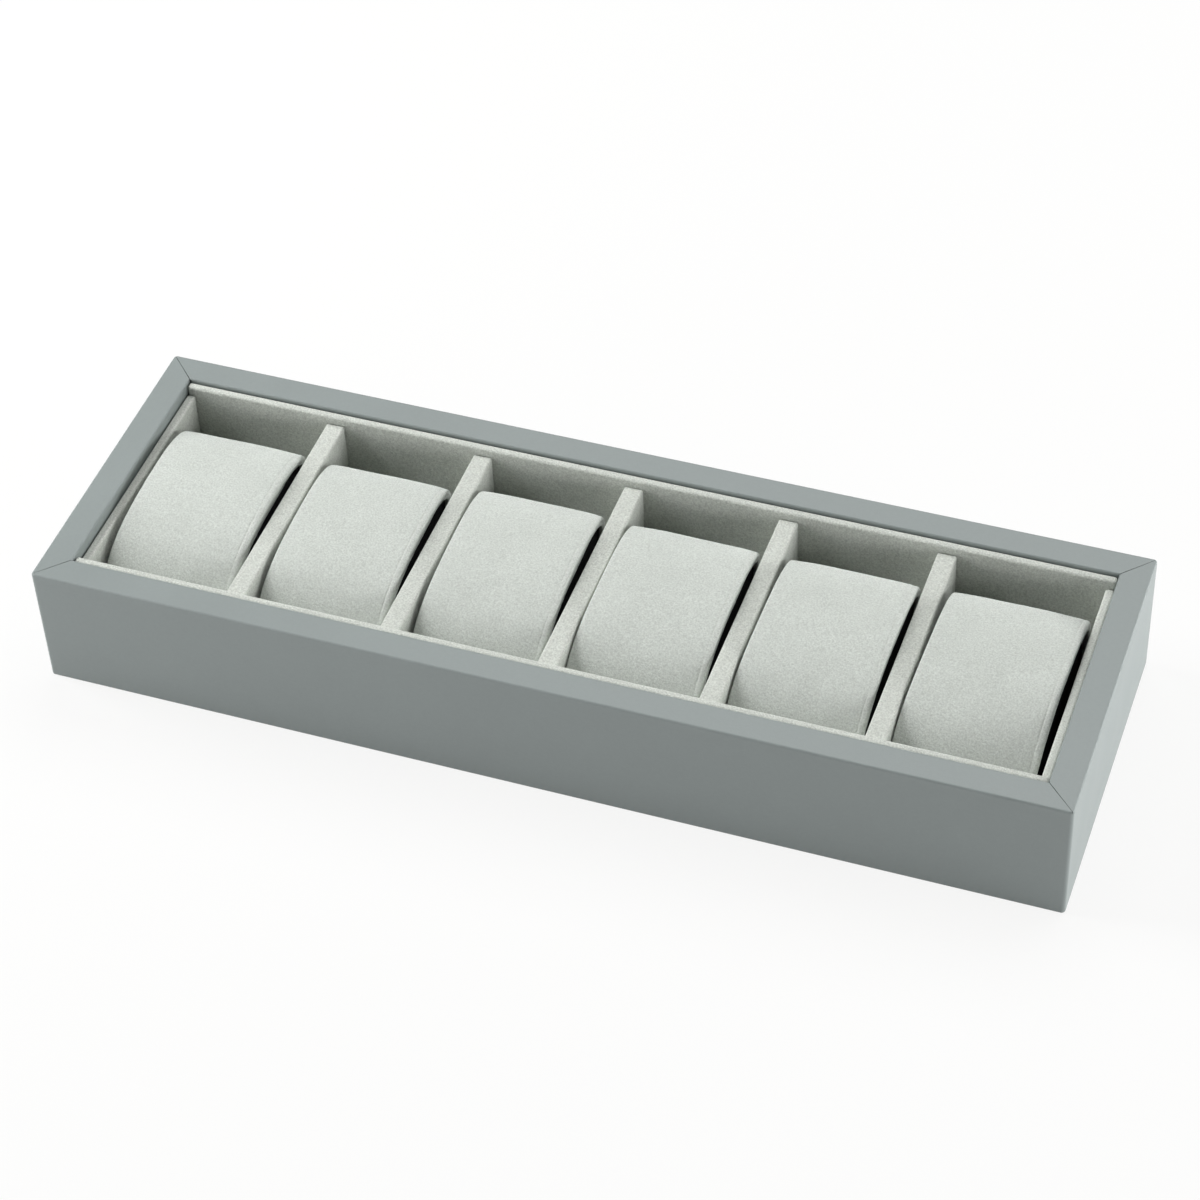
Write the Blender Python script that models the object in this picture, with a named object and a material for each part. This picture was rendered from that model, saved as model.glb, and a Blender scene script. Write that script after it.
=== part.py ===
"""Watch display tray: a mitred frame, suede linings and dividers, and six wrapped watch cushions.

Metres, +Z up. X runs along the tray, -Y is the front and the tray stands on Z = 0.
"""

import math

import bmesh
import bpy

# Frame boards, wrapped in leatherette
TRAY_LENGTH = 0.3600
TRAY_DEPTH = 0.1185
TRAY_HEIGHT = 0.0485
BOARD_THICKNESS = 0.0106
CORNER_RADIUS = 0.0014
TOP_EDGE_RADIUS = 0.0011
INNER_EDGE_RADIUS = 0.0006
BOTTOM_EDGE_RADIUS = 0.0009
MITRE_GAP = 0.0003

# Base, let into a rebate in the frame boards
REBATE_WIDTH = 0.0040
BASE_THICKNESS = 0.0030
FELT_THICKNESS = 0.0010
FELT_MARGIN = 0.0012
SHEET_CORNER_RADIUS = 0.0020

# Linings, dividers and floor: card wrapped in suede
FIT_GAP = 0.0003
LONG_LINING_THICKNESS = 0.0030
LONG_LINING_DROP = 0.00105
SIDE_LINING_THICKNESS = 0.0032
SIDE_LINING_DROP = 0.0041
LINING_EDGE_RADIUS = 0.0011
LINING_CORNER_RADIUS = 0.0026
FLOOR_LINING_THICKNESS = 0.0015
COMPARTMENTS = 6
END_COMPARTMENT_EXTRA = 0.0020
DIVIDER_THICKNESS = 0.0068
DIVIDER_DROP = 0.0039
DIVIDER_EDGE_RADIUS = 0.0009
DIVIDER_CORNER_RADIUS = 0.0013

# Cushions: a foam core with an open-sided cover wrapped round it from front to back
CUSHION_DROP = 0.0023
CUSHION_LENGTH = 0.0760
CUSHION_SIDE_GAP = 0.0010
CUSHION_FRONT_GAP = 0.0008
COVER_THICKNESS = 0.0026
CORE_RECESS = 0.0014
NOSE_HEIGHT = 0.0136
BOTTOM_FRONT_RADIUS = 0.0120
BOTTOM_BACK_RADIUS = 0.0080
CREST_FROM_BACK = 0.0226
SHOULDER_DROP = 0.0066
# How far each curve holds its first direction, as a share of its own rise or run
NOSE_FULLNESS = 0.91
CREST_FRONT_FULLNESS = 0.45
CREST_BACK_FULLNESS = 0.57
SHOULDER_FULLNESS = 0.67
# The handle length that turns a cubic curve into a quarter circle
QUARTER_CIRCLE = 0.5523

ARC_STEPS = 3
CURVE_STEPS = 10
ROLL_STEPS = 4

# Heights of the stack, from the underside up
BASE_BOTTOM = FELT_THICKNESS + FIT_GAP
REBATE_HEIGHT = BASE_BOTTOM + BASE_THICKNESS + FIT_GAP
FLOOR_TOP = REBATE_HEIGHT + FLOOR_LINING_THICKNESS
SEAT_HEIGHT = FLOOR_TOP + FIT_GAP

# Clear room inside the frame, then inside the linings
ROOM_LENGTH = TRAY_LENGTH - 2 * BOARD_THICKNESS
ROOM_DEPTH = TRAY_DEPTH - 2 * BOARD_THICKNESS
LINED_LENGTH = ROOM_LENGTH - 2 * (FIT_GAP + SIDE_LINING_THICKNESS)
LINED_DEPTH = ROOM_DEPTH - 2 * (FIT_GAP + LONG_LINING_THICKNESS)

DIVIDER_COUNT = COMPARTMENTS - 1
COMPARTMENT_WIDTH = (
    LINED_LENGTH - DIVIDER_COUNT * DIVIDER_THICKNESS - 2 * END_COMPARTMENT_EXTRA
) / COMPARTMENTS
PITCH = COMPARTMENT_WIDTH + DIVIDER_THICKNESS
CUSHION_WIDTH = COMPARTMENT_WIDTH - 2 * CUSHION_SIDE_GAP

# Colours read from the photograph, as linear values
LEATHERETTE = (0.245, 0.268, 0.270)
SUEDE = (0.600, 0.630, 0.590)
FOAM = (0.015, 0.015, 0.016)
FIBRE_BOARD = (0.260, 0.190, 0.120)
FELT = (0.060, 0.064, 0.066)


def clear_scene():
    for item in list(bpy.data.objects):
        bpy.data.objects.remove(item, do_unlink=True)


def make_material(name, colour, roughness):
    material = bpy.data.materials.new(name)
    material.use_nodes = True
    shader = material.node_tree.nodes["Principled BSDF"]
    shader.inputs["Base Color"].default_value = (*colour, 1.0)
    shader.inputs["Roughness"].default_value = roughness
    shader.inputs["Metallic"].default_value = 0.0
    return material


def add_object(name, mesh, material, location=(0.0, 0.0, 0.0), turn=0.0):
    """Links a mesh as a named object, turned about Z."""
    item = bpy.data.objects.new(name, mesh)
    item.location = location
    item.rotation_euler = (0.0, 0.0, turn)
    if not mesh.materials:
        mesh.materials.append(material)
    bpy.context.scene.collection.objects.link(item)
    return item


def finish_mesh(bm, name, smooth_angle=None):
    """Turns a bmesh into a mesh with its faces pointing out."""
    bmesh.ops.recalc_face_normals(bm, faces=bm.faces)
    mesh = bpy.data.meshes.new(name)
    bm.to_mesh(mesh)
    bm.free()
    if smooth_angle is not None:
        mesh.shade_smooth()
        mesh.set_sharp_from_angle(angle=math.radians(smooth_angle))
    return mesh


def arc(centre, radius, start, stop, steps):
    """Points on a circle between two angles in degrees, both ends included."""
    points = []
    for step in range(steps + 1):
        angle = math.radians(start + (stop - start) * step / steps)
        points.append((centre[0] + radius * math.cos(angle), centre[1] + radius * math.sin(angle)))
    return points


def cubic(start, first, second, end, steps):
    """Points on a cubic curve, without its last one."""
    points = []
    for step in range(steps):
        t = step / steps
        s = 1.0 - t
        weights = (s * s * s, 3 * s * s * t, 3 * s * t * t, t * t * t)
        corners = (start, first, second, end)
        points.append(
            (
                sum(w * c[0] for w, c in zip(weights, corners)),
                sum(w * c[1] for w, c in zip(weights, corners)),
            )
        )
    return points


def frame_section():
    """The board's section: distance out from its inner face, and height."""
    outer = BOARD_THICKNESS
    top = TRAY_HEIGHT
    inner_top = (INNER_EDGE_RADIUS, top - INNER_EDGE_RADIUS)
    outer_top = (outer - TOP_EDGE_RADIUS, top - TOP_EDGE_RADIUS)
    outer_bottom = (outer - BOTTOM_EDGE_RADIUS, BOTTOM_EDGE_RADIUS)
    points = arc(inner_top, INNER_EDGE_RADIUS, 180, 90, ARC_STEPS)
    points += arc(outer_top, TOP_EDGE_RADIUS, 90, 0, ARC_STEPS)
    points += arc(outer_bottom, BOTTOM_EDGE_RADIUS, 0, -90, ARC_STEPS)
    points += [(REBATE_WIDTH, 0.0), (REBATE_WIDTH, REBATE_HEIGHT), (0.0, REBATE_HEIGHT)]
    return points


def frame_loop(distance):
    """The plan of the frame at one distance out from its inner face, with rounded outer corners."""
    straight = BOARD_THICKNESS - CORNER_RADIUS
    radius = max(distance - straight, 0.0)
    half_x = ROOM_LENGTH / 2 + min(distance, straight)
    half_y = ROOM_DEPTH / 2 + min(distance, straight)
    points = []
    corners = ((1, 1, 0), (-1, 1, 90), (-1, -1, 180), (1, -1, 270))
    for side_x, side_y, start in corners:
        centre = (side_x * half_x, side_y * half_y)
        points += arc(centre, radius, start, start + 90, 2 * ARC_STEPS)
    return points


def frame_ring():
    """The whole frame as one closed ring, before it is cut at the mitres."""
    bm = bmesh.new()
    loops = []
    for distance, height in frame_section():
        loops.append([bm.verts.new((x, y, height)) for x, y in frame_loop(distance)])
    count = len(loops[0])
    for index, loop in enumerate(loops):
        following = loops[(index + 1) % len(loops)]
        for step in range(count):
            after = (step + 1) % count
            bm.faces.new((loop[step], loop[after], following[after], following[step]))
    bmesh.ops.remove_doubles(bm, verts=bm.verts, dist=0.000001)
    return finish_mesh(bm, "frame_ring", 35)


def mitre_wedge(name, half_along, half_out, turn):
    """A cutter that keeps one side of the frame, between its two mitre planes."""
    reach = BOARD_THICKNESS * 2
    shift = MITRE_GAP / 2 * math.sqrt(2)
    inner = half_out - reach
    outer = half_out + reach
    plan = [
        (-(half_along - reach - shift), -inner),
        (-(half_along + reach - shift), -outer),
        (half_along + reach - shift, -outer),
        (half_along - reach - shift, -inner),
    ]
    bm = bmesh.new()
    floor = bm.faces.new([bm.verts.new((x, y, -reach)) for x, y in plan])
    raised = bmesh.ops.extrude_face_region(bm, geom=[floor])["geom"]
    risen = [part for part in raised if isinstance(part, bmesh.types.BMVert)]
    bmesh.ops.translate(bm, verts=risen, vec=(0.0, 0.0, TRAY_HEIGHT + 2 * reach))
    wedge = bpy.data.objects.new(name, finish_mesh(bm, name))
    wedge.rotation_euler = (0.0, 0.0, turn)
    wedge.hide_render = True
    wedge.display_type = "WIRE"
    bpy.context.scene.collection.objects.link(wedge)
    return wedge


def build_frame():
    """Four boards cut from the ring, meeting at 45 degree mitres."""
    leatherette = make_material("leatherette", LEATHERETTE, 0.45)
    ring = frame_ring()
    half_x = TRAY_LENGTH / 2
    half_y = TRAY_DEPTH / 2
    sides = (
        ("frame_front", half_x, half_y, 0.0),
        ("frame_right", half_y, half_x, math.pi / 2),
        ("frame_back", half_x, half_y, math.pi),
        ("frame_left", half_y, half_x, -math.pi / 2),
    )
    for name, half_along, half_out, turn in sides:
        board = add_object(name, ring, leatherette)
        cut = board.modifiers.new("mitres", "BOOLEAN")
        cut.operation = "INTERSECT"
        cut.solver = "EXACT"
        cut.object = mitre_wedge(name + "_wedge", half_along, half_out, turn)


def flat_sheet(name, length, depth, thickness, bottom, material):
    """A flat sheet with rounded corners, lying level."""
    radius = SHEET_CORNER_RADIUS
    plan = []
    for side_x, side_y, start in ((1, 1, 0), (-1, 1, 90), (-1, -1, 180), (1, -1, 270)):
        centre = (side_x * (length / 2 - radius), side_y * (depth / 2 - radius))
        plan += arc(centre, radius, start, start + 90, ARC_STEPS)
    bm = bmesh.new()
    lower = bm.faces.new([bm.verts.new((x, y, 0.0)) for x, y in plan])
    raised = bmesh.ops.extrude_face_region(bm, geom=[lower])["geom"]
    risen = [part for part in raised if isinstance(part, bmesh.types.BMVert)]
    bmesh.ops.translate(bm, verts=risen, vec=(0.0, 0.0, thickness))
    return add_object(name, finish_mesh(bm, name), material, (0.0, 0.0, bottom))


def build_base(suede):
    """The base board in its rebate, the felt under it and the suede floor above it."""
    fibre_board = make_material("fibre_board", FIBRE_BOARD, 0.80)
    felt = make_material("felt", FELT, 0.95)
    base_length = ROOM_LENGTH + 2 * (REBATE_WIDTH - FIT_GAP)
    base_depth = ROOM_DEPTH + 2 * (REBATE_WIDTH - FIT_GAP)
    flat_sheet("base_board", base_length, base_depth, BASE_THICKNESS, BASE_BOTTOM, fibre_board)
    felt_length = base_length - 2 * FELT_MARGIN
    felt_depth = base_depth - 2 * FELT_MARGIN
    flat_sheet("base_felt", felt_length, felt_depth, FELT_THICKNESS, 0.0, felt)
    floor_length = LINED_LENGTH - 2 * FIT_GAP
    floor_depth = LINED_DEPTH - 2 * FIT_GAP
    flat_sheet(
        "floor_lining", floor_length, floor_depth, FLOOR_LINING_THICKNESS, REBATE_HEIGHT, suede
    )


def padded_panel(name, length, height, thickness, corner_radius, edge_radius):
    """A wrapped panel standing on Z = 0: rounded top corners and soft edges, square at its foot.

    It is thin along X and long along Y.
    """
    half = length / 2
    outline = [(-half, 0.0), (half, 0.0)]
    for side, start in ((1, 0), (-1, 90)):
        centre = (side * (half - corner_radius), height - corner_radius)
        outline += arc(centre, corner_radius, start, start + 90, ARC_STEPS)
    bm = bmesh.new()
    near = bm.faces.new([bm.verts.new((-thickness / 2, y, z)) for y, z in outline])
    raised = bmesh.ops.extrude_face_region(bm, geom=[near])["geom"]
    moved = [part for part in raised if isinstance(part, bmesh.types.BMVert)]
    bmesh.ops.translate(bm, verts=moved, vec=(thickness, 0.0, 0.0))
    soft_edges = []
    for edge in bm.edges:
        one, two = edge.verts
        same_side = abs(one.co.x - two.co.x) < thickness / 2
        at_foot = one.co.z < edge_radius and two.co.z < edge_radius
        if same_side and not at_foot:
            soft_edges.append(edge)
    bmesh.ops.bevel(
        bm,
        geom=soft_edges,
        offset=edge_radius,
        offset_type="OFFSET",
        segments=ARC_STEPS,
        profile=0.5,
        affect="EDGES",
        clamp_overlap=False,
    )
    return finish_mesh(bm, name, 35)


def build_linings(suede):
    """Two long linings along the frame, and two lower ones fitted between them."""
    long_mesh = padded_panel(
        "long_lining",
        ROOM_LENGTH - 2 * FIT_GAP,
        TRAY_HEIGHT - LONG_LINING_DROP - REBATE_HEIGHT,
        LONG_LINING_THICKNESS,
        LINING_CORNER_RADIUS,
        LINING_EDGE_RADIUS,
    )
    side_mesh = padded_panel(
        "side_lining",
        LINED_DEPTH - 2 * FIT_GAP,
        TRAY_HEIGHT - SIDE_LINING_DROP - REBATE_HEIGHT,
        SIDE_LINING_THICKNESS,
        LINING_CORNER_RADIUS,
        LINING_EDGE_RADIUS,
    )
    long_place = (LINED_DEPTH + LONG_LINING_THICKNESS) / 2
    side_place = (LINED_LENGTH + SIDE_LINING_THICKNESS) / 2
    for name, side in (("lining_front", -1), ("lining_back", 1)):
        add_object(name, long_mesh, suede, (0.0, side * long_place, REBATE_HEIGHT), math.pi / 2)
    for name, side in (("lining_left", -1), ("lining_right", 1)):
        add_object(name, side_mesh, suede, (side * side_place, 0.0, REBATE_HEIGHT))


def build_dividers(suede):
    """Equal padded boards standing on the floor, between the long linings."""
    mesh = padded_panel(
        "divider",
        LINED_DEPTH - 2 * FIT_GAP,
        TRAY_HEIGHT - DIVIDER_DROP - SEAT_HEIGHT,
        DIVIDER_THICKNESS,
        DIVIDER_CORNER_RADIUS,
        DIVIDER_EDGE_RADIUS,
    )
    for index in range(DIVIDER_COUNT):
        x = (index - (DIVIDER_COUNT - 1) / 2) * PITCH
        add_object("divider_%d" % (index + 1), mesh, suede, (x, 0.0, SEAT_HEIGHT))


def cushion_outline():
    """The cushion seen from its side, from the foot of its nose over the crest to its back.

    Y and Z, measured from the nose and from the seat. The nose is full and round, the crest
    falls slowly towards it, and the shoulder behind the crest is tight.
    """
    height = TRAY_HEIGHT - CUSHION_DROP - SEAT_HEIGHT
    back = CUSHION_LENGTH
    crest = back - CREST_FROM_BACK
    shoulder = height - SHOULDER_DROP
    rise = height - NOSE_HEIGHT
    foot = BOTTOM_FRONT_RADIUS
    heel = BOTTOM_BACK_RADIUS
    points = cubic(
        (foot, 0.0),
        (foot * (1 - QUARTER_CIRCLE), 0.0),
        (0.0, NOSE_HEIGHT * (1 - QUARTER_CIRCLE)),
        (0.0, NOSE_HEIGHT),
        CURVE_STEPS // 2,
    )
    points += cubic(
        (0.0, NOSE_HEIGHT),
        (0.0, NOSE_HEIGHT + NOSE_FULLNESS * rise),
        (crest * (1 - CREST_FRONT_FULLNESS), height),
        (crest, height),
        CURVE_STEPS,
    )
    points += cubic(
        (crest, height),
        (crest + CREST_BACK_FULLNESS * CREST_FROM_BACK, height),
        (back, shoulder + SHOULDER_FULLNESS * SHOULDER_DROP),
        (back, shoulder),
        CURVE_STEPS,
    )
    points.append((back, shoulder))
    points += arc((back - heel, heel), heel, 0, -90, ARC_STEPS)
    return points


def inset(points, distance):
    """Moves a closed outline inwards, along the bisector at each point."""
    count = len(points)
    moved = []
    for index, (y, z) in enumerate(points):
        before = points[index - 1]
        after = points[(index + 1) % count]
        arriving = (y - before[0], z - before[1])
        leaving = (after[0] - y, after[1] - z)
        in_length = math.hypot(*arriving)
        out_length = math.hypot(*leaving)
        direction_y = arriving[0] / in_length + leaving[0] / out_length
        direction_z = arriving[1] / in_length + leaving[1] / out_length
        length = math.hypot(direction_y, direction_z)
        # The outline runs clockwise, so its inner side is on the right
        inward = (direction_z / length, -direction_y / length)
        half_turn = length / 2
        moved.append((y + inward[0] * distance / half_turn, z + inward[1] * distance / half_turn))
    return moved


def cover_section():
    """The cover's section: place across the cushion, and depth below its surface.

    The side edges are rolled, so each is a half circle.
    """
    roll = COVER_THICKNESS / 2
    flat = CUSHION_WIDTH / 2 - roll
    right = arc((flat, -roll), roll, 90, -90, ROLL_STEPS)
    left = arc((-flat, -roll), roll, 270, 90, ROLL_STEPS)
    return [(x, -depth) for x, depth in right + left]


def cushion_cover():
    """The padded band: its rolled section carried round the cushion's outline."""
    outline = cushion_outline()
    bm = bmesh.new()
    rails = []
    for across, depth in cover_section():
        path = inset(outline, depth)
        rails.append([bm.verts.new((across, y, z)) for y, z in path])
    count = len(outline)
    for index, rail in enumerate(rails):
        following = rails[(index + 1) % len(rails)]
        for step in range(count):
            after = (step + 1) % count
            bm.faces.new((rail[step], rail[after], following[after], following[step]))
    return finish_mesh(bm, "cushion_cover", 50)


def cushion_core():
    """The foam block that fills the band, set back from the band's side edges."""
    half = CUSHION_WIDTH / 2 - CORE_RECESS
    outline = inset(cushion_outline(), COVER_THICKNESS + FIT_GAP)
    bm = bmesh.new()
    near = bm.faces.new([bm.verts.new((-half, y, z)) for y, z in outline])
    raised = bmesh.ops.extrude_face_region(bm, geom=[near])["geom"]
    moved = [part for part in raised if isinstance(part, bmesh.types.BMVert)]
    bmesh.ops.translate(bm, verts=moved, vec=(2 * half, 0.0, 0.0))
    return finish_mesh(bm, "cushion_core", 50)


def build_cushions(suede):
    """One cushion in the middle of each compartment's place, its nose near the front lining."""
    foam = make_material("foam", FOAM, 0.95)
    cover = cushion_cover()
    core = cushion_core()
    nose = -LINED_DEPTH / 2 + CUSHION_FRONT_GAP
    for index in range(COMPARTMENTS):
        x = (index - (COMPARTMENTS - 1) / 2) * PITCH
        place = (x, nose, SEAT_HEIGHT)
        add_object("cushion_cover_%d" % (index + 1), cover, suede, place)
        add_object("cushion_core_%d" % (index + 1), core, foam, place)


def main():
    clear_scene()
    suede = make_material("suede", SUEDE, 0.90)
    build_frame()
    build_base(suede)
    build_linings(suede)
    build_dividers(suede)
    build_cushions(suede)


main()
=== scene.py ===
"""Watch display tray, dressed: leatherette frame, suede linings and dividers, wrapped cushions."""

import math

import bmesh
import bpy
from mathutils import Matrix, Quaternion, Vector, noise


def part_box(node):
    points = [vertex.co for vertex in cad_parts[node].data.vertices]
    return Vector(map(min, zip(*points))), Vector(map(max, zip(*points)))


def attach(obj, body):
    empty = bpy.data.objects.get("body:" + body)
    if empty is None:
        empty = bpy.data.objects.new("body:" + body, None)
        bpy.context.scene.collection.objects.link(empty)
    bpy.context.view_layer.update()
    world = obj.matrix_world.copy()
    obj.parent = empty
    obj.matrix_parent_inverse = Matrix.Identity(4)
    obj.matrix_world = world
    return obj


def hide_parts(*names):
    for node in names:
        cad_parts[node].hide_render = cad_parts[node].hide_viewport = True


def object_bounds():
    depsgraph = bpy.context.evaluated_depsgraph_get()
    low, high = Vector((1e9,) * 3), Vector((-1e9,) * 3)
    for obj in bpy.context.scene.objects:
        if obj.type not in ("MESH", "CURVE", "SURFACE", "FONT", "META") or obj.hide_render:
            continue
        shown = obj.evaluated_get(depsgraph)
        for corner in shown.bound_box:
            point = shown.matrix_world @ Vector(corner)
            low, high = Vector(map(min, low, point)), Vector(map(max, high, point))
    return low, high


bl_info = {
    "name": "Watch Display Tray",
    "version": (1, 0, 0),
    "blender": (4, 5, 0),
    "location": "3D View > Sidebar > Tray",
    "description": "Dresses a watch display tray: frame, linings, dividers, cushions and studio",
    "category": "Object",
}

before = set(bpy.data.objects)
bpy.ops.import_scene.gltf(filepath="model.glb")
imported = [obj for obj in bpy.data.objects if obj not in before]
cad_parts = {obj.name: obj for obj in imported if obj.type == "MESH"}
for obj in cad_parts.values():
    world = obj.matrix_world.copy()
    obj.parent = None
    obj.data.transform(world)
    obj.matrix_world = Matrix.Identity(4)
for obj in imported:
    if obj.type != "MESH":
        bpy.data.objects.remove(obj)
cad_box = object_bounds()

ROOT = "root"

# The frame's own sizes, read from the solids
TRAY_LOW, TRAY_HIGH = cad_box
FRONT_LOW, FRONT_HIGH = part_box("frame_front")
BASE_LOW, BASE_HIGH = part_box("base_board")
BOARD_THICKNESS = FRONT_HIGH.y - FRONT_LOW.y

# The boards' rebate holds the base board, with this much room above it and all round
BASE_CLEARANCE = 0.0003
REBATE_HEIGHT = BASE_HIGH.z + BASE_CLEARANCE
REBATE_WIDTH = BASE_CLEARANCE + FRONT_HIGH.y - BASE_LOW.y

CUSHIONS = [name for name in sorted(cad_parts) if name.startswith("cushion_cover_")]
DIVIDERS = [name for name in sorted(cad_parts) if name.startswith("divider_")]
LININGS = ["lining_front", "lining_back", "lining_left", "lining_right"]

# Steps along the curves of the boards, the wraps and the cushions' outlines
BOARD_ARC_STEPS = 6
BOARD_FOOT_STEPS = 4
CORNER_STEPS = 8
WRAP_STEPS = 5
COVER_OUTLINE_STEPS = 26
CORE_OUTLINE_STEPS = 16

# Edge radius of the thin sheets
FLOOR_LINING_RADIUS = 0.0005
FELT_RADIUS = 0.00025

# The cushion's side view, as in its solid: sizes in metres, fullness as a share of rise or run
NOSE_HEIGHT = 0.0136
BOTTOM_FRONT_RADIUS = 0.0120
BOTTOM_BACK_RADIUS = 0.0080
CREST_FROM_BACK = 0.0226
SHOULDER_DROP = 0.0066
NOSE_FULLNESS = 0.91
CREST_FRONT_FULLNESS = 0.45
CREST_BACK_FULLNESS = 0.57
SHOULDER_FULLNESS = 0.67
QUARTER_CIRCLE = 0.5523
COVER_THICKNESS = 0.0026

# The cover's side edges, from the seam on top over the roll to the hem of the side wall.
# The left edge is narrower, and its seam lies in the wall, at a share of the wall's height.
TOP_STEPS = 12
SEAM_STEPS = 4
ROLL_STEPS = 8
WALL_STEPS = 8
HEM_STEPS = 6
SEAM_REACH = 0.0006
SEAM_WIDTH = 0.00026
LEFT_EDGE_SHARE = 0.55
SIDE_SEAM_PLACE = 0.4
SIDE_SEAM_WIDTH = 0.15
EDGE_SQUARENESS = 0.7
LEAN_POWER = 1.5

# Where the wall meets the cover's inner face, and how much of the wall is cut away at the back:
# the cut grows along this stretch of Y
WALL_FILLET = 0.0003
WALL_ROOT = COVER_THICKNESS + WALL_FILLET
WALL_CUT_AT_BACK = 0.8
WALL_CUT_RUN = (0.004, 0.022)

# The padding: the width of its hollows, where in the noise each cushion takes them from, and
# how far above the floor lining the crown and the hollows set in
HOLLOW_WIDTH = 0.013
HOLLOW_SHIFT = (3.1, 1.7, 5.3)
CROWN_FROM_FLOOR = 0.008
HOLLOWS_FROM_FLOOR = 0.001

# The foam: its room inside the cover and at the sides, how full its side faces stand, and the
# rings of a side face as (share of the outline's size, share of the fullness lost there)
CORE_CLEARANCE = 0.0003
CORE_SIDE_CLEARANCE = 0.0002
CORE_FULLNESS = 0.0003
CORE_RINGS = ((0.30, 0.0), (0.62, 0.35), (0.85, 0.62), (0.97, 0.85), (1.0, 1.0))

# The part of a stitch's thickness by which it stands above the bottom of its seam
STITCH_RISE = 0.15

# The stretch of -Y along which the sides swell, and that of Y along which the back is pushed in
SWELL_RUN = (0.004, 0.034)
PUSH_RUN = (0.002, 0.030)

# How each loose cushion sits: moved aside, leaning per metre of depth, back pushed in, extra width
SEATS = (
    (-0.00055, 0.006, -0.0018, -0.0009),
    (-0.00015, 0.000, -0.0031, -0.0024),
    (-0.00015, -0.009, -0.0002, -0.0021),
    (-0.00050, 0.007, -0.0014, -0.0012),
    (-0.00015, 0.020, -0.0014, -0.0016),
    (0.00085, 0.029, -0.0003, 0.0000),
)

# Most values of a noise pattern lie in the first range, and nearly all in the second
NOISE_RANGE = (0.3, 0.7)
WIDE_NOISE_RANGE = (0.25, 0.75)

# Colours of what the settings leave alone
FOAM_COLOUR = (0.016, 0.016, 0.017)
FIBRE_BOARD_COLOUR = (0.26, 0.19, 0.12)
FELT_COLOUR = (0.060, 0.064, 0.066)
SHEEN_TINT = (0.96, 1.0, 0.97, 1.0)
FLOOR_COLOUR = (0.82, 0.82, 0.82, 1.0)
FLOOR_WHITE = (0.99, 0.99, 0.985, 1.0)

# Depth of the nap and strength of its sheen, in the linings' suede and in the cushions'
LINING_NAP = (1.0, 1.0)
CUSHION_NAP = (0.85, 3.3)

# The stage: a floor just under the tray that turns plain white between two distances, and the
# soft boxes and cards as name, place, width, depth, and the setting that holds the power
FLOOR_HALF_WIDTH = 6.0
FLOOR_GAP = 0.0002
WHITE_RUN = (0.30, 0.80)
LIGHT_AIM = (0.0, 0.0, 0.03)
LIGHTS = (
    ("key_light", (-1.17, -0.05, 1.01), 0.6, 0.6, "key_power"),
    ("side_light", (-1.5, 0.0, 0.5), 1.0, 0.8, "side_power"),
    ("top_light", (0.12, 0.9, 1.5), 1.6, 1.0, "top_power"),
    ("right_card", (1.1, -0.1, 0.22), 0.8, 0.4, "right_power"),
    ("back_card", (0.8, 0.5, 0.12), 0.5, 0.2, "back_power"),
    ("front_card", (-0.7, -0.9, 0.20), 0.6, 0.3, "front_power"),
)

# The kinds of settings, as the panel shows them
LENGTH = {"subtype": "DISTANCE", "unit": "LENGTH"}
PLACE = {"subtype": "TRANSLATION", "unit": "LENGTH", "size": 3}
COLOUR = {"subtype": "COLOR", "size": 3, "min": 0.0, "max": 1.0}
SHARE = {"subtype": "FACTOR", "min": 0.0, "max": 1.0}
POWER = {"subtype": "POWER", "unit": "POWER"}


class FrameSettings(bpy.types.PropertyGroup):
    """Sizes and finish of the leatherette frame."""

    colour: bpy.props.FloatVectorProperty(
        name="Leatherette",
        description="Colour of the leatherette",
        default=(0.252, 0.284, 0.279),
        **COLOUR,
    )
    roughness: bpy.props.FloatProperty(
        name="Roughness",
        description="How matt the leatherette is",
        default=0.46,
        **SHARE,
    )
    grain: bpy.props.FloatProperty(
        name="Grain",
        description="Width of one pebble of the leatherette's grain",
        default=0.00055,
        **LENGTH,
    )
    corner_radius: bpy.props.FloatProperty(
        name="Corner radius",
        description="Radius of the frame's upright corners",
        default=0.0014,
        **LENGTH,
    )
    top_radius: bpy.props.FloatProperty(
        name="Top edge radius",
        description="Radius of the outer edge of the frame's top",
        default=0.0008,
        **LENGTH,
    )
    inner_radius: bpy.props.FloatProperty(
        name="Inner edge radius",
        description="Radius of the inner edge of the frame's top",
        default=0.0006,
        **LENGTH,
    )
    bottom_radius: bpy.props.FloatProperty(
        name="Bottom edge radius",
        description="Radius of the frame's lower outer edge",
        default=0.0005,
        **LENGTH,
    )
    seam_width: bpy.props.FloatProperty(
        name="Mitre seam",
        description="Width of the open seam on top of each mitre",
        default=0.00032,
        **LENGTH,
    )


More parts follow.
